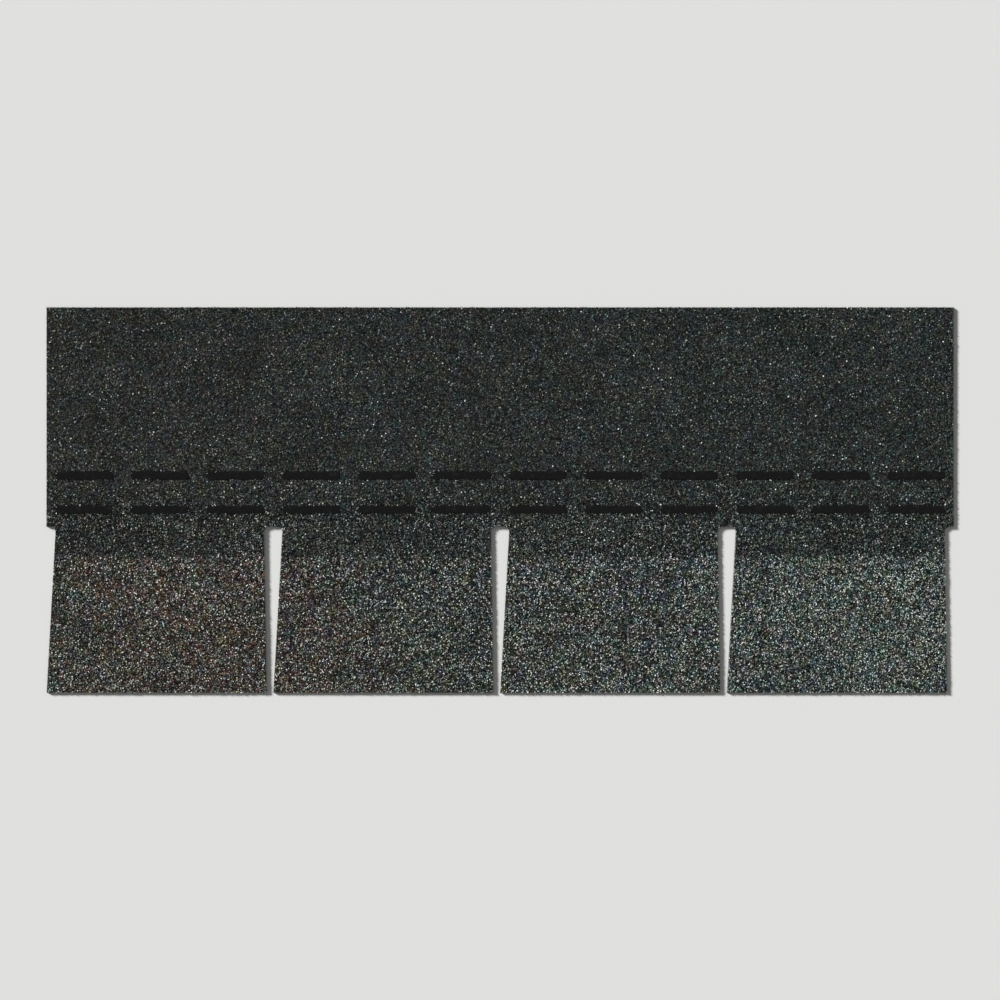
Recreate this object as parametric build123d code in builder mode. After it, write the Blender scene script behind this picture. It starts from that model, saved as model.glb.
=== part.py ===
from build123d import *
import os

# A four-tab asphalt strip shingle, lying granule side up. Lengths are in millimetres.
# X runs along the strip, Y runs up the roof from the tabs' feet to the head edge, and Z is up.
# The origin is on the underside, below the middle of the strip.

# Sheet: the exposed depth shows on the roof, and the headlap lies under the next courses
TAB_COUNT = 4
TAB_PITCH = 254.0
EXPOSURE = 190.5
HEADLAP = 241.3
SHEET_THICKNESS = 3.2
CUT_EDGE_RADIUS = 0.8

# Slots between the tabs: both sides lean inwards going down, the right one much more.
# Each is placed by its middle at the top, where the tab module lines are.
SLOT_TOP_WIDTH = 20.7
SLOT_LEFT_LEAN = 2.9
SLOT_RIGHT_LEAN = 10.3
SLOT_TOP_BELOW_EXPOSURE = 4.5
SLOT_CORNER_RADIUS = 6.0

# Self-seal adhesive: rows of dashes on the headlap, each row's rise above the exposure line
SEALANT_RISES = {"sealant_line_lower": 14.7, "sealant_line_upper": 52.8}
DASH_LENGTH = 66.0
DASH_WIDTH = 9.5
DASH_GAP = 18.0
DASH_HEIGHT = 0.9
DASH_EDGE_RADIUS = 0.5

# Release film: pressed flush into the back, behind both rows of adhesive
FILM_MARGIN = 8.0
FILM_THICKNESS = 0.3

strip_length = TAB_COUNT * TAB_PITCH
strip_depth = EXPOSURE + HEADLAP
foot_y = -strip_depth / 2
exposure_y = foot_y + EXPOSURE
slot_depth = EXPOSURE - SLOT_TOP_BELOW_EXPOSURE
slot_top_y = foot_y + slot_depth
module_lines = [(line - TAB_COUNT / 2) * TAB_PITCH for line in range(TAB_COUNT + 1)]
dash_count = int(strip_length // (DASH_LENGTH + DASH_GAP))
dash_pitch = strip_length / dash_count
film_low_y = exposure_y + min(SEALANT_RISES.values()) - DASH_WIDTH / 2 - FILM_MARGIN
film_high_y = exposure_y + max(SEALANT_RISES.values()) + DASH_WIDTH / 2 + FILM_MARGIN
film_width = film_high_y - film_low_y
film_y = (film_low_y + film_high_y) / 2

# One slot, with its module line at x = 0. Its sides run on past the feet by the same slopes,
# so that the cut leaves no skin there.
run_on = 1.0 + SLOT_CORNER_RADIUS / slot_depth
with BuildSketch() as slot:
    with BuildLine():
        Polyline(
            (-SLOT_TOP_WIDTH / 2, slot_top_y),
            (SLOT_TOP_WIDTH / 2, slot_top_y),
            (SLOT_TOP_WIDTH / 2 - SLOT_RIGHT_LEAN * run_on, slot_top_y - slot_depth * run_on),
            (-SLOT_TOP_WIDTH / 2 + SLOT_LEFT_LEAN * run_on, slot_top_y - slot_depth * run_on),
            close=True,
        )
    make_face()
    fillet(slot.vertices().group_by(Axis.Y)[-1], SLOT_CORNER_RADIUS)

# The sheet: a slot on every module line, so that each end is left with half of one,
# the top edges of the die cut rounded over, and the bed of the film in its back
with BuildPart() as shingle_strip:
    with BuildSketch():
        Rectangle(strip_length, strip_depth)
        with Locations(*[(x, 0) for x in module_lines]):
            add(slot.sketch, mode=Mode.SUBTRACT)
    extrude(amount=SHEET_THICKNESS)
    fillet(shingle_strip.faces().sort_by(Axis.Z)[-1].edges(), CUT_EDGE_RADIUS)
    with BuildSketch():
        with Locations((0, film_y)):
            Rectangle(strip_length, film_width)
    extrude(amount=FILM_THICKNESS, mode=Mode.SUBTRACT)
shingle_strip.part.label = "shingle_strip"

# The film fills its bed, end to end
with BuildPart() as release_film:
    with BuildSketch():
        with Locations((0, film_y)):
            Rectangle(strip_length, film_width)
    extrude(amount=FILM_THICKNESS)
release_film.part.label = "release_film"

# Each row of dashes lies on the headlap's granules
sealant_lines = []
for name, rise in SEALANT_RISES.items():
    with BuildPart() as sealant_line:
        with BuildSketch(Plane.XY.offset(SHEET_THICKNESS)):
            with Locations((0, exposure_y + rise)):
                with GridLocations(dash_pitch, dash_pitch, dash_count, 1):
                    SlotOverall(DASH_LENGTH, DASH_WIDTH)
        extrude(amount=DASH_HEIGHT)
        fillet(sealant_line.faces().group_by(Axis.Z)[-1].edges(), DASH_EDGE_RADIUS)
    sealant_line.part.label = name
    sealant_lines.append(sealant_line.part)

os.makedirs("parts", exist_ok=True)
export_step(shingle_strip.part, "parts/shingle_strip.step")
export_step(release_film.part, "parts/release_film.step")
for line in sealant_lines:
    export_step(line, f"parts/{line.label}.step")
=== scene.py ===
"""Dresses an asphalt strip shingle: its granules, adhesive beads, cut edges, back and film.

Everything is in metres in the frame of the construction model: X runs along the strip, Y runs up
the roof from the tabs' feet to the head edge, and Z is up from the floor that the strip lies on.
"""

from __future__ import annotations

import logging
import math
from dataclasses import dataclass, field
from enum import Enum
from typing import Any, Mapping, Sequence, Union

import bmesh
import bpy
import numpy as np
from mathutils import Euler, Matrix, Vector

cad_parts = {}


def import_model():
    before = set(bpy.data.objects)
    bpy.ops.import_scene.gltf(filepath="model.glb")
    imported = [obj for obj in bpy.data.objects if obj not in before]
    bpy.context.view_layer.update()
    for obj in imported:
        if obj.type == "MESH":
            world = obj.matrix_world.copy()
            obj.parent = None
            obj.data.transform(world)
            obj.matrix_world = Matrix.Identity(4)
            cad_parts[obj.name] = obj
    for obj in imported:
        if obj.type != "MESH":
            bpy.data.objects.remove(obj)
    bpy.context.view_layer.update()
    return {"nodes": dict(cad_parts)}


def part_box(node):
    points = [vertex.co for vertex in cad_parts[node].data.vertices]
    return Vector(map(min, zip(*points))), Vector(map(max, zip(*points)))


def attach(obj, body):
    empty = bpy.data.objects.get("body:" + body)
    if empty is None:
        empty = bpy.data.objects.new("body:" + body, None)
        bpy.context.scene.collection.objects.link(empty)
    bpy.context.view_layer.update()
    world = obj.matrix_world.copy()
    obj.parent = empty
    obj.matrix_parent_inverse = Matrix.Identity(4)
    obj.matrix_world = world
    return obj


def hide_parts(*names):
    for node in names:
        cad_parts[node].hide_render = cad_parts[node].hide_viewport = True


log = logging.getLogger("shingle")

MM = 0.001
# Vertices nearer than this are merged.
MERGE = 1e-6
# The map that the granules are baked to, and the margin in each one's cell of it.
BAKE_MAP = "OFBake"
CELL_MARGIN = 0.1
# What each granule carries: three random numbers, and where it sits.
CHANCE = "chance"
SEAT = "seat"
HALF = (0.5, 0.5, 0.5)

Colour = tuple[float, float, float, float]
# The darkest and the palest colour of something.
Shades = tuple[Colour, Colour]
# Where something starts, and where it is full.
Span = tuple[float, float]
Number = Union["Wire", float, int]

WHITE: Colour = (1.0, 1.0, 1.0, 1.0)


def paint(red: int, green: int, blue: int) -> Colour:
    """Turns a screen colour into the linear one that shaders take.

    Args:
        red: Red, from 0 to 255.
        green: Green, from 0 to 255.
        blue: Blue, from 0 to 255.

    Returns:
        The linear red, green, blue and an alpha of 1.
    """

    def straight(level: int) -> float:
        """Undoes the screen's curve for one channel."""
        share = level / 255
        return share / 12.92 if share <= 0.04045 else ((share + 0.055) / 1.055) ** 2.4

    return straight(red), straight(green), straight(blue), 1.0


class Wire:
    """A value that runs through a node tree. Arithmetic on it adds Math nodes."""

    def __init__(self, canvas: Canvas, socket: bpy.types.NodeSocket) -> None:
        """Keeps the socket that the value comes out of, and the tree that it is in."""
        self.canvas = canvas
        self.socket = socket

    def math(self, operation: str, *others: Number) -> Wire:
        """Adds one Math node.

        Args:
            operation: Blender's name for the operation.
            others: The operands after this one.

        Returns:
            The result as a new wire.
        """
        operands = dict(enumerate((self, *others)))
        return self.canvas.wire("ShaderNodeMath", {"operation": operation}, operands)

    def __add__(self, other: Number) -> Wire:
        """Adds."""
        return self.math("ADD", other)

    __radd__ = __add__

    def __mul__(self, other: Number) -> Wire:
        """Multiplies."""
        return self.math("MULTIPLY", other)

    __rmul__ = __mul__

    def __sub__(self, other: Number) -> Wire:
        """Subtracts other from this."""
        return self.math("SUBTRACT", other)

    def __rsub__(self, other: float) -> Wire:
        """Subtracts this from a plain number."""
        return self.math("MULTIPLY", -1.0) + other

    def __truediv__(self, other: Number) -> Wire:
        """Divides this by other."""
        return self.math("DIVIDE", other)

    def __rtruediv__(self, other: float) -> Wire:
        """Divides a plain number by this."""
        return self.math("POWER", -1.0) * other

    def __abs__(self) -> Wire:
        """Drops the sign."""
        return self.math("ABSOLUTE")

    def __lt__(self, other: Number) -> Wire:
        """Gives 1 where this is below other, and 0 elsewhere."""
        return self.math("LESS_THAN", other)

    def __gt__(self, other: Number) -> Wire:
        """Gives 1 where this is above other, and 0 elsewhere."""
        return self.math("GREATER_THAN", other)

    def step(self, low: float, high: float) -> Wire:
        """Rises smoothly from 0 to 1, or falls where low is above high.

        Args:
            low: Where it is 0.
            high: Where it is 1.

        Returns:
            The result as a new wire.
        """
        values = {"Value": self, "From Min": low, "From Max": high}
        if low > high:
            values |= {"From Min": high, "From Max": low, "To Min": 1.0, "To Max": 0.0}
        settings = {"interpolation_type": "SMOOTHSTEP"}
        return self.canvas.wire("ShaderNodeMapRange", settings, values)


class Canvas:
    """A node tree under construction."""

    def __init__(self, tree: bpy.types.NodeTree) -> None:
        """Starts on an empty tree."""
        self.tree = tree
        tree.nodes.clear()

    def add(
        self,
        kind: str,
        settings: Mapping[str, Any] | None = None,
        inputs: Mapping[int | str, Any] | None = None,
    ) -> bpy.types.Node:
        """Adds a node.

        Args:
            kind: The node's type.
            settings: Its own properties, set first. A ramp takes its stops as (place, colour).
            inputs: A value, wire or socket for each input, by name or number.

        Returns:
            The node.
        """
        node = self.tree.nodes.new(kind)
        for name, value in (settings or {}).items():
            if name == "stops":
                self.set_stops(node.color_ramp, value)
            elif name == "between_stops":
                node.color_ramp.interpolation = value
            else:
                setattr(node, name, value)
        for key, value in (inputs or {}).items():
            socket = node.inputs[key]
            if isinstance(value, Wire):
                value = value.socket
            if isinstance(value, bpy.types.NodeSocket):
                self.tree.links.new(value, socket)
            else:
                socket.default_value = value
        return node

    def wire(
        self,
        kind: str,
        settings: Mapping[str, Any] | None = None,
        inputs: Mapping[int | str, Any] | None = None,
        output: int | str = 0,
    ) -> Wire:
        """Adds a node as add does, and returns one of its outputs as a wire."""
        return Wire(self, self.add(kind, settings, inputs).outputs[output])

    def axis(self, source: Wire, letter: str) -> Wire:
        """Takes one axis, X, Y or Z, out of a vector."""
        return self.wire("ShaderNodeSeparateXYZ", inputs={0: source}, output=letter)

    def vector(self, x: Number = 0.0, y: Number = 0.0, z: Number = 0.0) -> Wire:
        """Makes a vector out of three numbers."""
        return self.wire("ShaderNodeCombineXYZ", inputs={0: x, 1: y, 2: z})

    def vector_math(self, operation: str, first: Any, second: Any = None) -> Wire:
        """Adds one Vector Math node.

        Args:
            operation: Blender's name for the operation.
            first: A vector, or a wire that carries one.
            second: Another, or the number or wire that SCALE scales by.

        Returns:
            The result as a new wire.
        """
        inputs = {0: first}
        if second is not None:
            inputs["Scale" if operation == "SCALE" else 1] = second
        return self.wire("ShaderNodeVectorMath", {"operation": operation}, inputs)

    @staticmethod
    def set_stops(ramp: bpy.types.ColorRamp, stops: Sequence[tuple[float, Colour]]) -> None:
        """Gives a ramp these stops and no others.

        Args:
            ramp: The ramp.
            stops: Each stop's place and colour.
        """
        while len(ramp.elements) > 1:
            ramp.elements.remove(ramp.elements[-1])
        ramp.elements[0].position, ramp.elements[0].color = stops[0]
        for place, colour in stops[1:]:
            ramp.elements.new(place).color = colour


class Paint(Canvas):
    """A material under construction."""

    def __init__(self, name: str) -> None:
        """Makes an empty material.

        Args:
            name: The material's name.
        """
        self.material = bpy.data.materials.new(name)
        self.material.use_nodes = True
        super().__init__(self.material.node_tree)
        self.place = self.wire("ShaderNodeTexCoord", output="Object")

    def mix(self, share: Number, first: Any, second: Any, way: str = "MIX") -> Wire:
        """Blends two colours.

        Args:
            share: How much of the second shows, from 0 to 1.
            first: A colour, or a wire that carries one.
            second: Another.
            way: Blender's name for how they blend.

        Returns:
            The blended colour.
        """
        settings = {"data_type": "RGBA", "blend_type": way}
        inputs = {0: share, 6: first, 7: second}
        return self.wire("ShaderNodeMix", settings, inputs, output=2)

    def stretched(self, scale: tuple[float, float, float]) -> Wire:
        """Returns the place on the object, scaled along each axis."""
        inputs = {"Vector": self.place, "Scale": scale}
        return self.wire("ShaderNodeMapping", inputs=inputs)

    def noise(self, size: float, detail: float = 2.0, where: Wire | None = None) -> Wire:
        """Returns noise from 0 to 1 with features about this size, in metres."""
        inputs = {"Vector": where or self.place, "Scale": 1 / size, "Detail": detail}
        return self.wire("ShaderNodeTexNoise", inputs=inputs)

    def bump(self, strength: float, depth: float, height: Wire) -> Wire:
        """Returns the normal of a relief this deep, in metres, and this strong."""
        inputs = {"Strength": strength, "Distance": depth, "Height": height}
        return self.wire("ShaderNodeBump", inputs=inputs)

    def finish(self, **sockets: Any) -> bpy.types.Material:
        """Ends the material in a Principled shader.

        Args:
            sockets: Its inputs, with an underscore for each space in a name.

        Returns:
            The material.
        """
        inputs = {name.replace("_", " "): value for name, value in sockets.items()}
        shader = self.add("ShaderNodeBsdfPrincipled", inputs=inputs)
        self.add("ShaderNodeOutputMaterial", inputs={"Surface": shader.outputs[0]})
        return self.material


class Granule(Enum):
    """The fired mineral granules that the blends are mixed from, by screen colour."""

    BLACK = paint(13, 14, 15)
    CHARCOAL = paint(42, 44, 44)
    SLATE = paint(77, 81, 79)
    SAGE = paint(116, 123, 119)
    ASH = paint(169, 175, 170)
    CHALK = paint(230, 233, 227)
    INK = paint(48, 54, 63)
    STEEL = paint(93, 101, 111)
    RUST = paint(98, 82, 76)
    CLAY = paint(143, 131, 122)
    UMBER = paint(73, 66, 59)


@dataclass(frozen=True)
class Blend:
    """A mix of granules, from the darkest to the palest.

    Attributes:
        shares: The granules, each with its share.
    """

    shares: tuple[tuple[Granule, float], ...]

    @classmethod
    def of(cls, **shares: float) -> Blend:
        """Mixes a blend from each granule's share, given by the granule's name."""
        return cls(tuple((Granule[name.upper()], share) for name, share in shares.items()))

    def pick(self, canvas: Paint, chance: Wire) -> Wire:
        """Picks the granule's colour.

        Args:
            canvas: The material it is for.
            chance: The granule's own random number, from 0 to 1.

        Returns:
            The colour of that granule.
        """
        total = sum(share for _, share in self.shares)
        stops, place = [], 0.0
        for granule, share in self.shares:
            stops.append((place, granule.value))
            place += share / total
        settings = {"between_stops": "CONSTANT", "stops": stops}
        return canvas.wire("ShaderNodeValToRGB", settings, {0: chance})


PLAIN = Blend.of(black=28, charcoal=17.5, umber=7, slate=17, sage=16, ash=9.5, chalk=5)
REDDISH = Blend.of(
    black=30, charcoal=11, umber=10, slate=7.5, rust=15, sage=4, clay=14, ash=6, chalk=4
)
BLUISH = Blend.of(black=31, charcoal=10, ink=15, slate=9, steel=15, sage=7, ash=7.5, chalk=4.5)
PALE_GREEN = Blend.of(black=29, charcoal=15, slate=17, sage=20, ash=13.5, chalk=6)
DARK = Blend.of(black=27, charcoal=30, slate=27, sage=12, ash=3, chalk=1)


@dataclass(frozen=True)
class Drop:
    """A stretch of the web where the line dropped another blend.

    Attributes:
        blend: The granules dropped there.
        middle: Its middle, in tab widths from the strip's left end.
        half_width: Half its width, in tab widths.
        lean: How many metres it shifts along the strip for each metre up it.
        strength: The most of the surface that it takes over.
        warmth: How much warmer every granule is there, or cooler below 0.
        greenness: How much greener.
    """

    blend: Blend
    middle: float
    half_width: float
    lean: float
    strength: float
    warmth: float = 0.0
    greenness: float = 0.0


@dataclass(frozen=True)
class Web:
    """How the blends lie on the strip's face.

    Attributes:
        left: X of the strip's left end.
        tab_width: From one slot to the next.
        exposure_line: Y of the line that the next course's tabs come down to.
        shadow_depth: How far the dark granules of the headlap run below that line.
        shadow_fade: How far their edge takes to fade out.
        fray: How far that edge strays.
        fray_size: How wide its waves are.
        cluster: How wide a cluster of warmer or cooler granules is.
        green_cluster: How wide one of greener granules is, as a share of that.
        warmth: How far clusters drift between warm and cool.
        greenness: How far they drift between green and pink.
        green_middle: The noise level that is neither green nor pink.
        calm: How much less the tints show among the dark granules.
        patch: How wide a lighter or darker patch is.
        patchiness: How far the patches drift.
        tone: How bright the dullest granule of a colour is, as a share of it.
        tone_spread: How much brighter the liveliest is.
        stray: How far a drop's edges stray along the strip, in tab widths.
        stray_size: How wide their waves are.
        core: The share of a drop's half width that it covers in full.
        drops: The other blends along the strip.
    """

    left: float
    tab_width: float
    exposure_line: float
    shadow_depth: float = 38 * MM
    shadow_fade: float = 10 * MM
    fray: float = 12 * MM
    fray_size: float = 22 * MM
    cluster: float = 11 * MM
    green_cluster: float = 0.9
    warmth: float = 0.95
    greenness: float = 0.5
    green_middle: float = 0.44
    calm: float = 0.4
    patch: float = 80 * MM
    patchiness: float = 0.68
    tone: float = 0.645
    tone_spread: float = 0.4
    stray: float = 0.9
    stray_size: float = 45 * MM
    core: float = 0.35
    drops: tuple[Drop, ...] = (
        Drop(REDDISH, middle=0.5, half_width=0.95, lean=0.3, strength=0.8, warmth=0.09,
             greenness=-0.03),
        Drop(BLUISH, middle=2.75, half_width=0.6, lean=0.5, strength=0.35, warmth=-0.03),
        Drop(PALE_GREEN, middle=3.7, half_width=1.3, lean=0.4, strength=0.9, warmth=-0.05,
             greenness=0.03),
    )

    def colour(self, canvas: Paint, chance: Wire) -> Wire:
        """Works out a granule's colour from where it lies.

        Args:
            canvas: The material it is for.
            chance: Three random numbers of the granule's own, as a vector.

        Returns:
            The granule's colour.
        """
        which, where, tone = (canvas.axis(chance, letter) for letter in "XYZ")
        x, y = (canvas.axis(canvas.place, letter) for letter in "XY")
        along = (x - self.left) / self.tab_width
        stray = (canvas.noise(self.stray_size, detail=3.0) - 0.5) * self.stray
        warm = (canvas.noise(self.cluster, detail=0.0) - 0.5) * self.warmth
        green = canvas.noise(self.cluster * self.green_cluster, detail=0.0) - self.green_middle
        green = green * self.greenness
        colour = PLAIN.pick(canvas, which)
        for drop in self.drops:
            shift = along + y * (drop.lean / self.tab_width) + stray
            off_middle = abs(shift - drop.middle) / drop.half_width
            mask = off_middle.step(1.0, self.core) * drop.strength
            colour = canvas.mix(where < mask, colour, drop.blend.pick(canvas, which))
            warm = warm + mask * drop.warmth
            green = green + mask * drop.greenness

        edge, half_fade = self.exposure_line - self.shadow_depth, self.shadow_fade / 2
        frayed = y + (canvas.noise(self.fray_size, detail=3.0) - 0.5) * self.fray
        shadow = frayed.step(edge - half_fade, edge + half_fade)
        colour = canvas.mix(where < shadow, colour, DARK.pick(canvas, which))

        # Pale granules and those of the dark band take less of the tints.
        strength = (1.0 - canvas.axis(colour, "Y").math("SQRT")) * (1.0 - shadow * self.calm)
        warm, green = warm * strength, green * strength
        patch = (canvas.noise(self.patch) - 0.5) * self.patchiness
        level = tone * self.tone_spread + self.tone + patch
        red, blue = level * (1.0 + warm - green), level * (1.0 - warm - green)
        tint = canvas.vector(red, level * (1.0 + green), blue)
        return canvas.mix(1.0, colour, tint, way="MULTIPLY")


@dataclass(frozen=True)
class Scatter:
    """How closely the granules stand.

    Attributes:
        gap: The least distance between two granules' middles.
        crowd: How hard they are crowded to that distance.
        sparse: The share of them that stand well up the headlap, where nothing shows.
        thin_over: How far above the exposure line they take to thin out to that.
    """

    gap: float = 1.0 * MM
    crowd: float = 8.0
    sparse: float = 0.2
    thin_over: float = 45 * MM


@dataclass(frozen=True)
class BedFinish:
    """The granules bedded in the face, between the standing ones.

    Attributes:
        web: Where the blends lie.
        scatter: How the granules stand round them.
        grain: Their size.
        gap: How far from a granule's middle its gap begins and is full, in grains.
        gap_colour: The gaps' colour.
        gap_share: How much of that colour shows.
        tilt: How far their faces lean.
        deep_shade: How dark they are where the standing ones crowd round them: painted shade from
            those granules, and partly the asphalt that coats the bedded ones.
        open_shade: The same where few stand.
    """

    web: Web
    scatter: Scatter
    grain: float = 1.15 * MM
    gap: Span = (0.55, 0.8)
    gap_colour: Colour = paint(12, 12, 13)
    gap_share: float = 0.8
    tilt: float = 1.1
    deep_shade: float = 0.4
    open_shade: float = 0.95

    def cells(self, canvas: Paint) -> bpy.types.Node:
        """Adds the node whose cells the granules are."""
        inputs = {"Vector": canvas.place, "Scale": 1 / self.grain}
        return canvas.add("ShaderNodeTexVoronoi", inputs=inputs)

    def colour(self, canvas: Paint, cells: bpy.types.Node) -> Wire:
        """Works out their colour.

        Args:
            canvas: The material it is for.
            cells: The node whose cells they are.

        Returns:
            The colour, with painted shade where the standing granules crowd round it.
        """
        colour = self.web.colour(canvas, Wire(canvas, cells.outputs["Color"]))
        gap = Wire(canvas, cells.outputs["Distance"]).step(*self.gap)
        colour = canvas.mix(gap * self.gap_share, colour, self.gap_colour)
        # Painted shade, with some of the asphalt that coats the bedded granules: darker where the
        # standing ones crowd, lighter up the headlap where they thin out.
        start, end = self.web.exposure_line, self.web.exposure_line + self.scatter.thin_over
        open_share = canvas.axis(canvas.place, "Y").step(start, end)
        shade = open_share * (self.open_shade - self.deep_shade) + self.deep_shade
        return canvas.mix(1.0, colour, canvas.vector(shade, shade, shade), way="MULTIPLY")

    def lean(self, canvas: Paint, cells: bpy.types.Node, share: Wire, normal: Wire) -> Wire:
        """Leans each granule's face its own way.

        Args:
            canvas: The material it is for.
            cells: The node whose cells they are.
            share: How much of the lean there is.
            normal: The normal that leans.

        Returns:
            The normal, leaned.
        """
        chance = Wire(canvas, cells.outputs["Color"])
        lean = canvas.vector_math("SUBTRACT", chance, HALF)
        lean = canvas.vector_math("SCALE", lean, share * self.tilt)
        return canvas.vector_math("NORMALIZE", canvas.vector_math("ADD", normal, lean))


@dataclass(frozen=True)
class Layer:
    """A layer of the sheet that shows on a cut.

    Attributes:
        height: How high its middle lies.
        half: Half its thickness.
        colour: Its colour.
    """

    height: float
    half: float
    colour: Colour


@dataclass(frozen=True)
class CutFinish:
    """A cut through the sheet, with its rounded edge.

    Attributes:
        asphalt: The darkest and the palest of the asphalt.
        streak: How high a streak in it is.
        pull: How closely streaks follow each other on each axis.
        waver: How far the layers waver up and down.
        layers: The parting sand and the glass mat.
        core: The share of a layer's half thickness that it covers in full.
        grains: Between which levels of the sand's noise a layer's grains come up.
        grain_share: How much of their colour shows.
        dust: The darkest and the palest of the rounded edge: pale dust, and partly a painted
        highlight for the lit edge.
        dust_grain: Size of its specks.
        specks: Between which levels of their noise it turns pale.
    """

    asphalt: Shades = (paint(13, 13, 14), paint(40, 39, 38))
    streak: float = 1.5 * MM
    pull: tuple[float, float, float] = (0.15, 0.15, 1.0)
    waver: float = 0.8 * MM
    layers: tuple[Layer, ...] = (
        Layer(height=0.0, half=0.35 * MM, colour=paint(104, 101, 95)),
        Layer(height=1.5 * MM, half=0.3 * MM, colour=paint(74, 73, 70)),
    )
    core: float = 0.4
    grains: Span = (0.35, 0.6)
    grain_share: float = 0.8
    dust: Shades = (paint(58, 58, 56), paint(150, 151, 146))
    dust_grain: float = 1.3 * MM
    specks: Span = (0.35, 0.65)

    def streaks(self, canvas: Paint) -> Wire:
        """Returns the streaks' noise, drawn out along the cut."""
        return canvas.noise(self.streak, where=canvas.stretched(self.pull))

    def colour(self, canvas: Paint, sand: Wire, streaks: Wire) -> Wire:
        """Works out the colour of the cut.

        Args:
            canvas: The material it is for.
            sand: Noise as fine as the sand.
            streaks: The streaks' noise.

        Returns:
            The colour of the asphalt, with the layers in it.
        """
        colour = canvas.mix(streaks, *self.asphalt)
        height = canvas.axis(canvas.place, "Z") + (streaks - 0.5) * self.waver
        for layer in self.layers:
            inside = abs(height - layer.height).step(layer.half, layer.half * self.core)
            shown = inside * (sand.step(*self.grains) * self.grain_share)
            colour = canvas.mix(shown, colour, layer.colour)
        return colour

    def rim_dust_and_highlight(self, canvas: Paint) -> Wire:
        """Returns the colour of the rounded edge: pale dust, and partly a painted highlight."""
        return canvas.mix(canvas.noise(self.dust_grain).step(*self.specks), *self.dust)


@dataclass(frozen=True)
class BackFinish:
    """The back, dusted, with sand grains in it.

    Attributes:
        dust: The darkest and the palest of the dust.
        dust_grain: Size of its specks.
        specks: Between which levels of their noise it turns pale.
        drift: How wide its light and dark patches are.
        drifting: How far they drift.
        sand: The sand grains' colour.
        grains: Between which levels of the sand's noise they come up.
        grain_share: How much of their colour shows.
    """

    dust: Shades = (paint(28, 28, 28), paint(122, 121, 116))
    dust_grain: float = 1.6 * MM
    specks: Span = (0.33, 0.7)
    drift: float = 90 * MM
    drifting: float = 0.14
    sand: Colour = paint(160, 157, 148)
    grains: Span = (0.6, 0.8)
    grain_share: float = 0.6

    def colour(self, canvas: Paint, sand: Wire) -> Wire:
        """Works out the colour of the back.

        Args:
            canvas: The material it is for.
            sand: Noise as fine as the sand.

        Returns:
            The colour of the dust, with the sand in it.
        """
        patches = (canvas.noise(self.drift, detail=3.0) - 0.5) * self.drifting
        dusting = canvas.noise(self.dust_grain, detail=4.0) + patches
        dusted = canvas.mix(dusting.step(*self.specks), *self.dust)
        return canvas.mix(sand.step(*self.grains) * self.grain_share, dusted, self.sand)


@dataclass(frozen=True)
class SheetFinish:
    """The finish of the sheet itself, under and around the standing granules.

    Attributes:
        bed: The granules bedded in its face.
        cut: Its cuts.
        back: Its back.
        turns: Between which Z of its normal a face turns into the top, the rim and the back.
        sand_grain: Size of the sand's grains.
        relief: How deep the grain of the cuts and the back is.
        emboss: How strongly it shows.
        roughness: How rough the cuts and the back are.
        polish: How much less rough the granules are.
        shine: How strongly the sheet mirrors.
    """

    bed: BedFinish
    cut: CutFinish = CutFinish()
    back: BackFinish = BackFinish()
    turns: tuple[Span, ...] = ((0.9, 0.99), (0.1, 0.4), (-0.5, -0.8))
    sand_grain: float = 0.45 * MM
    relief: float = 0.3 * MM
    emboss: float = 0.5
    roughness: float = 0.9
    polish: float = 0.2
    shine: float = 0.03

    def material(self) -> bpy.types.Material:
        """Makes the material: granules above, black asphalt at the cuts, dusted sand below.

        Returns:
            The material.
        """
        canvas = Paint("shingle_sheet")
        cells = self.bed.cells(canvas)
        sand = canvas.noise(self.sand_grain, detail=3.0)
        streaks = self.cut.streaks(canvas)

        upward = canvas.axis(canvas.wire("ShaderNodeNewGeometry", output="True Normal"), "Z")
        on_top, on_rim, on_back = (upward.step(*turn) for turn in self.turns)
        # The rounded edge is pale: dust, and partly a painted highlight for the lit edge, which
        # the granules leave bare mostly where it faces the key lamp.
        colour = canvas.mix(on_rim, self.cut.colour(canvas, sand, streaks), self.cut.rim_dust_and_highlight(canvas))
        colour = canvas.mix(on_top, colour, self.bed.colour(canvas, cells))
        colour = canvas.mix(on_back, colour, self.back.colour(canvas, sand))

        bumped = canvas.bump(self.emboss, self.relief, sand * 0.5 + streaks * 0.5)
        return canvas.finish(
            Base_Color=colour,
            Roughness=self.roughness - on_top * self.polish,
            Normal=self.bed.lean(canvas, cells, on_top, bumped),
            Specular_IOR_Level=self.shine,
        )


@dataclass(frozen=True)
class StoneFinish:
    """The finish of the standing granules, fired mineral with a faint glaze.

    Attributes:
        web: Where the blends lie.
        glaze: The roughness of the glossiest granule.
        dulling: How much rougher the dullest is.
        shine: How strongly they mirror.
    """

    web: Web
    glaze: float = 0.28
    dulling: float = 0.3
    shine: float = 0.04

    def material(self) -> bpy.types.Material:
        """Makes the material, which reads each stone's own random numbers.

        Returns:
            The material.
        """
        canvas = Paint("fired_granules")
        chance = canvas.wire("ShaderNodeAttribute", {"attribute_name": CHANCE}, output="Vector")
        colour = self.web.colour(canvas, chance)
        roughness = canvas.axis(chance, "X") * self.dulling + self.glaze
        return canvas.finish(
            Base_Color=colour, Roughness=roughness, Specular_IOR_Level=self.shine
        )


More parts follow.
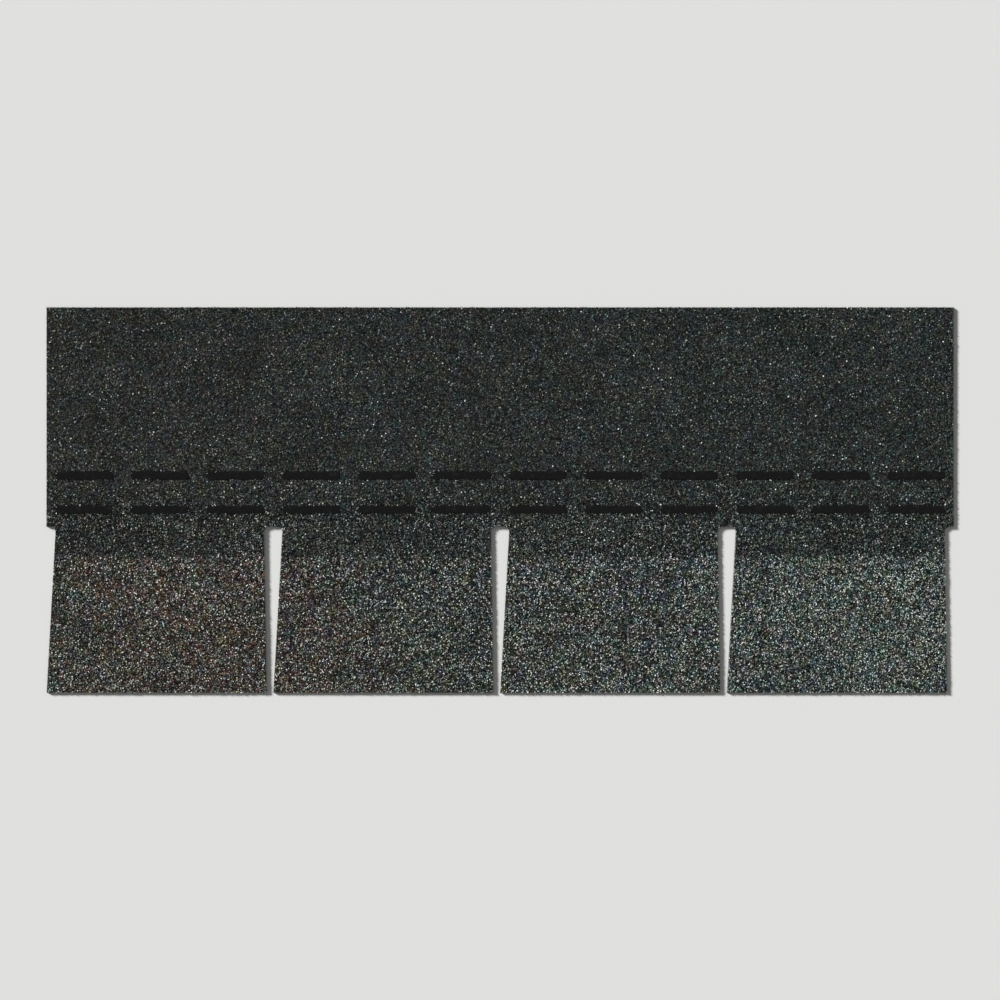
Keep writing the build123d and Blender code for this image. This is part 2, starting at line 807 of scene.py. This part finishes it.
@dataclass(frozen=True)
class AdhesiveFinish:
    """Black asphalt adhesive: a dull gloss with a skin of fine ripples.

    Attributes:
        asphalt: Its own colour.
        dust: The colour of the dust on it.
        dusting: How much of the dust shows where most lies.
        dust_patch: How wide a dusty patch is.
        dusty: Between which levels of the patches' noise the dust thickens.
        gloss: The roughness of clean adhesive.
        dulling: How much rougher the dust makes it.
        ripple: How wide a ripple is.
        relief: How deep the ripples are.
        emboss: How strongly they show.
        shine: How strongly it mirrors.
    """

    asphalt: Colour = paint(8, 8, 9)
    dust: Colour = paint(42, 42, 40)
    dusting: float = 0.3
    dust_patch: float = 6 * MM
    dusty: Span = (0.5, 0.8)
    gloss: float = 0.15
    dulling: float = 0.35
    ripple: float = 1.6 * MM
    relief: float = 0.3 * MM
    emboss: float = 0.35
    shine: float = 0.1

    def material(self) -> bpy.types.Material:
        """Makes the material.

        Returns:
            The material.
        """
        canvas = Paint("asphalt_adhesive")
        dust = canvas.noise(self.dust_patch, detail=4.0).step(*self.dusty)
        ripples = canvas.noise(self.ripple, detail=3.0)
        return canvas.finish(
            Base_Color=canvas.mix(dust * self.dusting, self.asphalt, self.dust),
            Roughness=dust * self.dulling + self.gloss,
            Normal=canvas.bump(self.emboss, self.relief, ripples),
            Specular_IOR_Level=self.shine,
        )


@dataclass(frozen=True)
class FilmFinish:
    """Clear film pressed on black asphalt: glossy, with haze and fine creases.

    Attributes:
        clear: The colour where it is clearest.
        hazy: The colour where it is haziest.
        haze: How wide a hazy patch is.
        hazing: Between which levels of the patches' noise the haze thickens.
        creased: The colour of a crease.
        crease: How wide a crease is.
        pull: How closely creases follow each other on each axis.
        creasing: Between which levels of their noise they come up.
        crease_share: How much of their colour shows.
        relief: How deep they are.
        emboss: How strongly they show.
        gloss: The roughness of clear film.
        dulling: How much rougher the haze makes it.
        coat: How much of a gloss coat lies on it.
    """

    clear: Colour = paint(70, 71, 73)
    hazy: Colour = paint(104, 105, 107)
    haze: float = 34 * MM
    hazing: Span = (0.25, 0.8)
    creased: Colour = paint(150, 151, 153)
    crease: float = 3 * MM
    pull: tuple[float, float, float] = (1.0, 0.12, 1.0)
    creasing: Span = (0.5, 0.7)
    crease_share: float = 0.18
    relief: float = 0.2 * MM
    emboss: float = 0.4
    gloss: float = 0.16
    dulling: float = 0.15
    coat: float = 0.3

    def material(self) -> bpy.types.Material:
        """Makes the material.

        Returns:
            The material.
        """
        canvas = Paint("release_film")
        haze = canvas.noise(self.haze, detail=5.0).step(*self.hazing)
        creases = canvas.noise(self.crease, where=canvas.stretched(self.pull))
        colour = canvas.mix(haze, self.clear, self.hazy)
        crease = creases.step(*self.creasing) * self.crease_share
        return canvas.finish(
            Base_Color=canvas.mix(crease, colour, self.creased),
            Roughness=haze * self.dulling + self.gloss,
            Normal=canvas.bump(self.emboss, self.relief, creases),
            Coat_Weight=self.coat,
        )


class Tree(Canvas):
    """A Geometry Nodes tree under construction, with named sizes as its inputs."""

    def __init__(self, name: str, sizes: Mapping[str, str]) -> None:
        """Makes an empty tree.

        Args:
            name: The tree's name.
            sizes: Each input's name and socket type, after the geometry.
        """
        super().__init__(bpy.data.node_groups.new(name, "GeometryNodeTree"))
        interface = self.tree.interface
        for way in ("INPUT", "OUTPUT"):
            interface.new_socket("Geometry", in_out=way, socket_type="NodeSocketGeometry")
        self.keys: dict[str, str] = {}
        for label, kind in sizes.items():
            socket = interface.new_socket(label, in_out="INPUT", socket_type=kind)
            self.keys[label] = socket.identifier
        self.entry = self.tree.nodes.new("NodeGroupInput")
        self.place = self.wire("GeometryNodeInputPosition")

    def given(self, label: str) -> Wire:
        """Returns one of the tree's named inputs."""
        return Wire(self, self.entry.outputs[label])

    def random(self, low: float, high: float, draw: int) -> Wire:
        """Draws a random vector for each point, from low to high on each axis."""
        inputs = {0: (low,) * 3, 1: (high,) * 3, 8: self.given("Seed") + draw}
        return self.wire("FunctionNodeRandomValue", {"data_type": "FLOAT_VECTOR"}, inputs)

    def keep(self, shape: Wire, name: str, value: Wire) -> Wire:
        """Stores a vector on each point.

        Args:
            shape: What has the points.
            name: The name it is stored under.
            value: The vector.

        Returns:
            The shape that carries it.
        """
        inputs = {"Geometry": shape, "Name": name, "Value": value}
        settings = {"data_type": "FLOAT_VECTOR", "domain": "POINT"}
        return self.wire("GeometryNodeStoreNamedAttribute", settings, inputs)

    def moved(self, shape: Wire, offset: Wire) -> Wire:
        """Moves each point by a vector of its own."""
        return self.wire("GeometryNodeSetPosition", inputs={"Geometry": shape, "Offset": offset})

    def raised(self, shape: Wire, height: Wire) -> Wire:
        """Moves each point straight up by a height of its own."""
        return self.moved(shape, self.vector(z=height))

    def real(self, shape: Wire) -> Wire:
        """Turns instances into faces of their own."""
        return self.wire("GeometryNodeRealizeInstances", inputs={0: shape})

    def end(self, shape: Wire) -> None:
        """Realizes the shape, gives it its material and ends the tree.

        Args:
            shape: What the tree makes.
        """
        dressed = {"Geometry": self.real(shape), "Material": self.given("Material")}
        shown = self.wire("GeometryNodeSetMaterial", inputs=dressed)
        self.add("NodeGroupOutput", inputs={0: shown})

    def grow(
        self, name: str, seed_mesh: bpy.types.Mesh, sizes: Mapping[str, Any]
    ) -> bpy.types.Object:
        """Runs the tree on a mesh and keeps the result as a plain mesh.

        Args:
            name: The new piece's name.
            seed_mesh: What the tree starts from.
            sizes: A value for each of the tree's named inputs.

        Returns:
            The piece, at the origin, with no modifier.
        """
        piece = add_object(name, seed_mesh)
        modifier = piece.modifiers.new("grow", "NODES")
        modifier.node_group = self.tree
        for label, value in sizes.items():
            modifier[self.keys[label]] = value
        scene_state = bpy.context.evaluated_depsgraph_get()
        grown = bpy.data.meshes.new_from_object(piece.evaluated_get(scene_state))
        piece.modifiers.remove(modifier)
        piece.data = grown
        grown.name = name
        bpy.data.meshes.remove(seed_mesh)
        return piece


def add_object(name: str, data: bpy.types.ID) -> bpy.types.Object:
    """Puts something into the scene as an object at the origin.

    Args:
        name: The object's name.
        data: Its mesh, camera or lamp.

    Returns:
        The object.
    """
    piece = bpy.data.objects.new(name, data)
    bpy.context.scene.collection.objects.link(piece)
    return piece


def set_material(node: bpy.types.Object, material: bpy.types.Material) -> None:
    """Gives a node of the construction model this material alone."""
    node.data.materials.clear()
    node.data.materials.append(material)


def report(piece: bpy.types.Object) -> None:
    """Logs a piece's name and its triangles."""
    triangles = sum(len(face.vertices) - 2 for face in piece.data.polygons)
    log.info("%s: %d triangles", piece.name, triangles)


@dataclass
class Sheet:
    """The strip itself, whose shape is the construction model's.

    Attributes:
        node: Its node in the frame.
        tab_count: How many tabs it has.
        exposure: How far its tabs show on a roof.
        steep: A face whose normal's Z is below this holds no granules.
        steep_left: The same for faces that look left, towards the key lamp, so that the pale rim,
        partly a painted highlight, shows there.
        leftward: A face looks left where its normal's X is below this.
    """

    node: str = "shingle_strip"
    tab_count: int = 4
    exposure: float = 190.5 * MM
    steep: float = 0.6
    steep_left: float = 0.98
    leftward: float = -0.1
    low: Vector = field(init=False)
    high: Vector = field(init=False)

    def __post_init__(self) -> None:
        """Reads its place from the frame."""
        self.low, self.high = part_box(self.node)

    @property
    def tab_width(self) -> float:
        """The distance from one slot to the next."""
        return (self.high.x - self.low.x) / self.tab_count

    @property
    def exposure_line(self) -> float:
        """Y of the line that the next course's tabs come down to."""
        return self.low.y + self.exposure

    def web(self) -> Web:
        """Returns how the granule blends lie on it."""
        return Web(self.low.x, self.tab_width, self.exposure_line)

    def dress(self, node: bpy.types.Object, scatter: Scatter) -> None:
        """Gives its object the finish that suits how closely the granules stand."""
        set_material(node, SheetFinish(BedFinish(self.web(), scatter)).material())

    def is_bare(self, part: bmesh.types.BMFace) -> bool:
        """Tells whether a face is too steep for granules."""
        # Left-facing edges stay bare more readily, so that the pale rim, partly a painted
        # highlight, shows where the key lamp lights them.
        least = self.steep_left if part.normal.x < self.leftward else self.steep
        return part.normal.z < least

    def face(self, node: bpy.types.Object, low: float, high: float) -> bpy.types.Mesh:
        """Copies a band of the upward face, with its rounded edges, as a bed for granules.

        Args:
            node: The sheet's object.
            low: Y of the band's lower edge.
            high: Y of its upper edge.

        Returns:
            The bed.
        """
        bed = bmesh.new()
        bed.from_mesh(node.data)
        bmesh.ops.remove_doubles(bed, verts=bed.verts, dist=MERGE)
        bare = [part for part in bed.faces if self.is_bare(part)]
        bmesh.ops.delete(bed, geom=bare, context="FACES")
        for edge, outward in ((low, -1.0), (high, 1.0)):
            parts = [*bed.verts, *bed.edges, *bed.faces]
            plane = {"plane_co": Vector((0, edge, 0)), "plane_no": Vector((0, outward, 0))}
            bmesh.ops.bisect_plane(bed, geom=parts, clear_outer=True, **plane)
        mesh = bpy.data.meshes.new("bed")
        bed.to_mesh(mesh)
        bed.free()
        return mesh


@dataclass
class Film:
    """The clear film in the back, whose shape is the construction model's.

    Attributes:
        node: Its node in the frame.
        finish: Its finish.
    """

    node: str = "release_film"
    finish: FilmFinish = FilmFinish()

    def dress(self, node: bpy.types.Object) -> None:
        """Gives its object the finish."""
        set_material(node, self.finish.material())


@dataclass
class Granules:
    """The granules that stand out of the sheet, each a crushed stone of six facets.

    Attributes:
        scatter: How closely they stand.
        sides: How many sides a stone has before it is crushed, each of two facets.
        radius: A large granule's radius.
        lopsided: The smallest and the largest share of it that each of its axes has.
        dark_size: How large the darkest granules are, as a share of it.
        pale_gain: How much larger the palest are.
        squat: How flat they are pressed, as a share of their height.
        crush: How far each corner is knocked out of place.
        sink: How deep the darkest are pressed in below the surface.
        rise: How much higher the palest stand than the darkest.
        tab_bands: How many bands the tabs' face is built in, each a piece of its own.
        headlap_bands: Where each further band ends, as a share of the headlap.
        seed: What the scatter starts from.
    """

    scatter: Scatter = Scatter()
    sides: int = 3
    radius: float = 1.12 * MM
    lopsided: tuple[float, float] = (0.62, 1.0)
    dark_size: float = 0.8
    pale_gain: float = 0.25
    squat: float = 0.62
    crush: float = 0.24 * MM
    sink: float = 0.35 * MM
    rise: float = 0.65 * MM
    tab_bands: int = 4
    headlap_bands: tuple[float, ...] = (0.22, 0.6, 1.0)
    seed: int = 11

    def points(self, tree: Tree) -> Wire:
        """Scatters the points that the stones stand on, fewer and fewer up the headlap.

        Args:
            tree: The tree they are for.

        Returns:
            The points.
        """
        gap, start = tree.given("Gap"), tree.given("Thin From")
        share = tree.wire(
            "ShaderNodeMapRange",
            {"interpolation_type": "SMOOTHSTEP"},
            {
                "Value": tree.axis(tree.place, "Y"),
                "From Min": start,
                "From Max": start + tree.given("Thin Over"),
                "To Min": 1.0,
                "To Max": tree.given("Sparse"),
            },
        )
        return tree.wire(
            "GeometryNodeDistributePointsOnFaces",
            {"distribute_method": "POISSON"},
            {
                "Mesh": tree.given("Geometry"),
                "Distance Min": gap,
                "Density Max": gap.math("POWER", -2.0) * tree.given("Crowd"),
                "Density Factor": share,
                "Seed": tree.given("Seed"),
            },
        )

    def tree(self) -> Tree:
        """Builds the tree that scatters stones over a bed.

        Returns:
            The tree.
        """
        sizes = ("Gap", "Crowd", "Thin From", "Thin Over", "Sparse")
        sizes += ("Radius", "Squat", "Crush", "Sink", "Rise")
        kinds = {"Seed": "NodeSocketInt", "Material": "NodeSocketMaterial"}
        tree = Tree("scattered_granules", {**dict.fromkeys(sizes, "NodeSocketFloat"), **kinds})

        chance = tree.random(0.0, 1.0, draw=1)
        pale = tree.axis(chance, "X")
        points = tree.keep(self.points(tree), CHANCE, chance)
        points = tree.keep(points, SEAT, tree.place)
        points = tree.raised(points, pale * tree.given("Rise") - tree.given("Sink"))
        stone = {"Segments": self.sides, "Rings": 2, "Radius": 1.0}
        size = tree.given("Radius") * (pale * self.pale_gain + self.dark_size)
        stones = tree.wire(
            "GeometryNodeInstanceOnPoints",
            inputs={
                "Points": points,
                "Instance": tree.wire("GeometryNodeMeshUVSphere", inputs=stone),
                "Rotation": tree.random(0.0, math.tau, draw=3),
                "Scale": tree.vector_math("SCALE", tree.random(*self.lopsided, draw=2), size),
            },
        )
        knock = tree.vector_math("SCALE", tree.random(-1.0, 1.0, draw=4), tree.given("Crush"))
        stones = tree.moved(tree.real(stones), knock)

        settings = {"data_type": "FLOAT_VECTOR"}
        seat = tree.wire("GeometryNodeInputNamedAttribute", settings, {"Name": SEAT})
        height = tree.axis(tree.vector_math("SUBTRACT", tree.place, seat), "Z")
        stones = tree.raised(stones, height * (tree.given("Squat") - 1.0))
        flat = {"Geometry": stones, "Shade Smooth": False}
        tree.end(tree.wire("GeometryNodeSetShadeSmooth", inputs=flat))
        return tree

    def give_bake_cells(self, mesh: bpy.types.Mesh) -> None:
        """Gives each stone a cell of its own on a map, so that a baked picture keeps its colour.

        Args:
            mesh: The stones, each with two facets for each side.
        """
        count = len(mesh.loops) // (self.sides * 2 * 3)
        side = math.ceil(math.sqrt(count))
        number = np.arange(count)
        cell = np.stack([number % side, number // side], axis=1)
        low, high = CELL_MARGIN, 1.0 - CELL_MARGIN
        halves = ((low, low), (high, low), (low, high)), ((high, high), (low, high), (high, low))
        in_cell = np.tile(np.array(halves), (self.sides, 1, 1))
        places = (cell[:, None, None, :] + in_cell[None, :, :, :]) / side
        layer = mesh.uv_layers.new(name=BAKE_MAP)
        layer.uv.foreach_set("vector", places.astype(np.float32).ravel())

    def edges(self, sheet: Sheet) -> list[float]:
        """Divides the strip into bands, from the tabs' feet to the head edge.

        Args:
            sheet: The strip.

        Returns:
            Y of each edge of a band.
        """
        foot, line, count = sheet.low.y, sheet.exposure_line, self.tab_bands
        on_tabs = [foot + sheet.exposure * band / count for band in range(count + 1)]
        headlap = sheet.high.y - line
        return on_tabs + [line + headlap * share for share in self.headlap_bands]

    def build(self, sheet: Sheet, node: bpy.types.Object) -> list[bpy.types.Object]:
        """Scatters stones over the strip, band by band.

        Args:
            sheet: The strip they lie on.
            node: Its object.

        Returns:
            One piece for each band.
        """
        sizes = {
            "Gap": self.scatter.gap,
            "Crowd": self.scatter.crowd,
            "Thin From": sheet.exposure_line,
            "Thin Over": self.scatter.thin_over,
            "Sparse": self.scatter.sparse,
            "Radius": self.radius,
            "Squat": self.squat,
            "Crush": self.crush,
            "Sink": self.sink,
            "Rise": self.rise,
            "Material": StoneFinish(sheet.web()).material(),
        }
        edges, tree = self.edges(sheet), self.tree()
        pieces = []
        for number, (low, high) in enumerate(zip(edges, edges[1:]), start=1):
            sizes["Seed"] = self.seed + 10 * number
            piece = tree.grow(f"granule_band_{number}", sheet.face(node, low, high), sizes)
            self.give_bake_cells(piece.data)
            pieces.append(piece)
        return pieces


@dataclass
class Adhesive:
    """A row of adhesive beads, laid hot on the granules, so that each one's outline wanders.

    Attributes:
        node: The construction model's row, which the beads stand for.
        count: How many beads there are.
        length: A bead's length.
        width: Its width.
        depth: How far it sinks in among the granules.
        stations: How many points it has along, across and through.
        taper: How much of the width its rounded ends lose.
        side_fall: How much of the height its sides lose.
        end_fall: How much its ends lose.
        wander: How far its outline wanders.
        wander_size: How long a bend in it is.
        lumps: How far the granules below push its skin up.
        lump_size: How wide a lump is.
        seed: Shifts the wandering, so that no two rows are the same.
    """

    node: str
    count: int = 12
    length: float = 66 * MM
    width: float = 9.5 * MM
    depth: float = 0.25 * MM
    stations: tuple[int, int, int] = (64, 10, 2)
    taper: float = 0.98
    side_fall: float = 0.9
    end_fall: float = 0.8
    wander: float = 1.1 * MM
    wander_size: float = 9 * MM
    lumps: float = 0.8 * MM
    lump_size: float = 2.2 * MM
    seed: float = 0.0

    def bead(self, tree: Tree) -> Wire:
        """Shapes one bead out of a block.

        Args:
            tree: The tree it is for.

        Returns:
            The bead.
        """
        length, width, height = (tree.given(name) for name in ("Length", "Width", "Height"))
        counts = {f"Vertices {letter}": count for letter, count in zip("XYZ", self.stations)}
        block = tree.wire("GeometryNodeMeshCube", inputs={"Size": (2.0, 2.0, 1.0), **counts})
        u, v, w = (tree.axis(tree.place, letter) for letter in "XYZ")
        # An end cap as long as half the width rounds the outline.
        cap = (abs(u) * length - (length - width)) / width
        cap = cap.math("MAXIMUM", 0.0)
        side = (1.0 - cap * cap * self.taper).math("SQRT")
        crown = (1.0 - (v * v * v * v) * self.side_fall).math("SQRT")
        crown = crown * (1.0 - cap * cap * cap * cap * self.end_fall)
        shaped = tree.vector(u * length * 0.5, v * side * width * 0.5, (w + 0.5) * crown * height)
        return tree.wire("GeometryNodeSetPosition", inputs={"Geometry": block, "Position": shaped})

    def tree(self) -> Tree:
        """Builds the tree that lays a bead on each point.

        Returns:
            The tree.
        """
        sizes = ("Length", "Width", "Height", "Wander", "Lumps", "Seed")
        kinds = {"Material": "NodeSocketMaterial"}
        tree = Tree("adhesive_beads", {**dict.fromkeys(sizes, "NodeSocketFloat"), **kinds})
        laid = {"Points": tree.given("Geometry"), "Instance": self.bead(tree)}
        row = tree.real(tree.wire("GeometryNodeInstanceOnPoints", inputs=laid))

        def noise(size: float, detail: float) -> Wire:
            """Makes noise that the row's seed shifts.

            Args:
                size: How wide its features are.
                detail: How fine they get.

            Returns:
                A noise vector around 0.
            """
            inputs = {"Vector": tree.place, "W": tree.given("Seed")}
            inputs |= {"Scale": 1 / size, "Detail": detail}
            settings = {"noise_dimensions": "4D"}
            colour = tree.wire("ShaderNodeTexNoise", settings, inputs, output="Color")
            return tree.vector_math("SUBTRACT", colour, HALF)

        drift = tree.vector_math("MULTIPLY", noise(self.wander_size, 2.0), (1.0, 1.0, 0.0))
        row = tree.moved(row, tree.vector_math("SCALE", drift, tree.given("Wander")))
        bump = tree.axis(noise(self.lump_size, 1.0), "Z")
        row = tree.raised(row, bump * tree.given("Lumps"))
        tree.end(tree.wire("GeometryNodeSetShadeSmooth", inputs={"Geometry": row}))
        return tree

    def build(self, material: bpy.types.Material) -> bpy.types.Object:
        """Lays the row where the construction model has it.

        Args:
            material: The adhesive's finish.

        Returns:
            The row as one piece.
        """
        low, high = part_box(self.node)
        first_end, last_end = low.x + self.length / 2, high.x - self.length / 2
        y, z = (low.y + high.y) / 2, low.z - self.depth
        centres = [(x, y, z) for x in np.linspace(first_end, last_end, self.count)]
        seeds = bpy.data.meshes.new("bead_centres")
        seeds.from_pydata(centres, [], [])
        sizes = {
            "Length": self.length,
            "Width": self.width,
            "Height": high.z - z,
            "Wander": self.wander,
            "Lumps": self.lumps,
            "Seed": self.seed,
            "Material": material,
        }
        return self.tree().grow(self.node.replace("line", "beads"), seeds, sizes)


@dataclass(frozen=True)
class FloorFinish:
    """A matte floor that is clear from below, so that the strip's back can be seen.

    Attributes:
        colour: Its colour.
        roughness: How rough it is.
        shine: How strongly it mirrors.
    """

    colour: Colour = paint(226, 226, 224)
    roughness: float = 1.0
    shine: float = 0.1

    def material(self) -> bpy.types.Material:
        """Makes the material.

        Returns:
            The material.
        """
        canvas = Paint("pale_floor")
        look = {
            "Base Color": self.colour,
            "Roughness": self.roughness,
            "Specular IOR Level": self.shine,
        }
        matte = canvas.add("ShaderNodeBsdfPrincipled", inputs=look)
        below = canvas.wire("ShaderNodeNewGeometry", output="Backfacing")
        clear = canvas.add("ShaderNodeBsdfTransparent")
        shaders = {0: below, 1: matte.outputs[0], 2: clear.outputs[0]}
        both = canvas.wire("ShaderNodeMixShader", inputs=shaders)
        canvas.add("ShaderNodeOutputMaterial", inputs={"Surface": both})
        return canvas.material


@dataclass
class Floor:
    """The plain pale floor that the strip lies on.

    Attributes:
        reach: How far it runs each way.
        drop: How far below the strip's back it lies.
        finish: Its finish.
    """

    reach: float = 30.0
    drop: float = 0.2 * MM
    finish: FloorFinish = FloorFinish()

    def build(self) -> bpy.types.Object:
        """Makes the floor, which shades nothing, so that a lamp below reaches the back.

        Returns:
            The floor as one piece.
        """
        shape = bmesh.new()
        bmesh.ops.create_grid(shape, x_segments=1, y_segments=1, size=self.reach)
        bmesh.ops.translate(shape, vec=(0, 0, -self.drop), verts=shape.verts)
        mesh = bpy.data.meshes.new("floor")
        shape.to_mesh(mesh)
        shape.free()
        floor = add_object("floor", mesh)
        floor.visible_shadow = False
        mesh.materials.append(self.finish.material())
        return floor


@dataclass
class Studio:
    """The camera and the plain soft light.

    Attributes:
        view_width: How much of the floor the picture's width shows.
        lens: The camera's focal length in millimetres.
        key_level: How bright the key lamp alone makes a white card that lies flat.
        key_height: Its height above the horizon in degrees.
        key_turn: The way it comes from, in degrees from +X towards +Y.
        key_size: How wide it looks from the floor, in degrees.
        sky_level: How bright the even light alone makes that card.
        backdrop: How bright the sky looks, in the picture and in a gloss.
        below_level: How bright the lamp below makes a white card that faces down.
    """

    view_width: float = 1.121
    lens: float = 85.0
    key_level: float = 0.78
    key_height: float = 25.0
    key_turn: float = 149.0
    key_size: float = 12.0
    sky_level: float = 0.2
    backdrop: float = 0.95
    below_level: float = 0.6

    def camera(self) -> None:
        """Looks straight down on the middle of the strip, with its head edge at the top."""
        data = bpy.data.cameras.new("camera")
        data.lens = self.lens
        camera = add_object("camera", data)
        camera.location = (0, 0, self.view_width * self.lens / data.sensor_width)
        bpy.context.scene.camera = camera

    def lamp(self, name: str, level: float, turn: Euler) -> None:
        """Adds a soft lamp.

        Args:
            name: Its name.
            level: How bright it makes a white card that faces it.
            turn: How it is turned from shining straight down.
        """
        data = bpy.data.lights.new(name, "SUN")
        data.energy = level * math.pi
        data.angle = math.radians(self.key_size)
        add_object(name, data).rotation_euler = turn

    def lights(self) -> None:
        """Sets the key lamp, the lamp below, the even light and the pale background."""
        scene = bpy.context.scene
        scene.view_settings.view_transform = "Standard"
        height = math.radians(self.key_height)
        turn = Euler((0, math.pi / 2 - height, math.radians(self.key_turn)))
        self.lamp("key", self.key_level / math.sin(height), turn)
        self.lamp("below", self.below_level, Euler((math.pi, 0, 0)))
        world = bpy.data.worlds.new("studio")
        scene.world = world
        world.use_nodes = True
        canvas = Canvas(world.node_tree)
        path = canvas.add("ShaderNodeLightPath")
        seen = Wire(canvas, path.outputs["Is Camera Ray"])
        for kind in ("Is Glossy Ray", "Is Transmission Ray"):
            seen = seen.math("MAXIMUM", Wire(canvas, path.outputs[kind]))
        strength = seen * (self.backdrop - self.sky_level) + self.sky_level
        sky = canvas.add("ShaderNodeBackground", inputs={"Color": WHITE, "Strength": strength})
        canvas.add("ShaderNodeOutputWorld", inputs={"Surface": sky.outputs[0]})


def main() -> None:
    """Builds the pieces in order and reports each."""
    logging.basicConfig(level=logging.INFO, format="%(message)s")
    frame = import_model()
    nodes = frame["nodes"]

    studio = Studio()
    studio.camera()
    studio.lights()
    report(Floor().build())

    sheet = Sheet()
    strip = nodes[sheet.node]
    granules = Granules()
    for piece in granules.build(sheet, strip):
        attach(piece, "root")
        report(piece)
    sheet.dress(strip, granules.scatter)
    report(strip)

    adhesive = AdhesiveFinish().material()
    for seed, name in enumerate(("sealant_line_lower", "sealant_line_upper")):
        row = Adhesive(name, seed=float(seed))
        piece = row.build(adhesive)
        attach(piece, "root")
        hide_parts(name)
        report(piece)

    film = Film()
    film.dress(nodes[film.node])
    report(nodes[film.node])


if __name__ == "__main__":
    main()
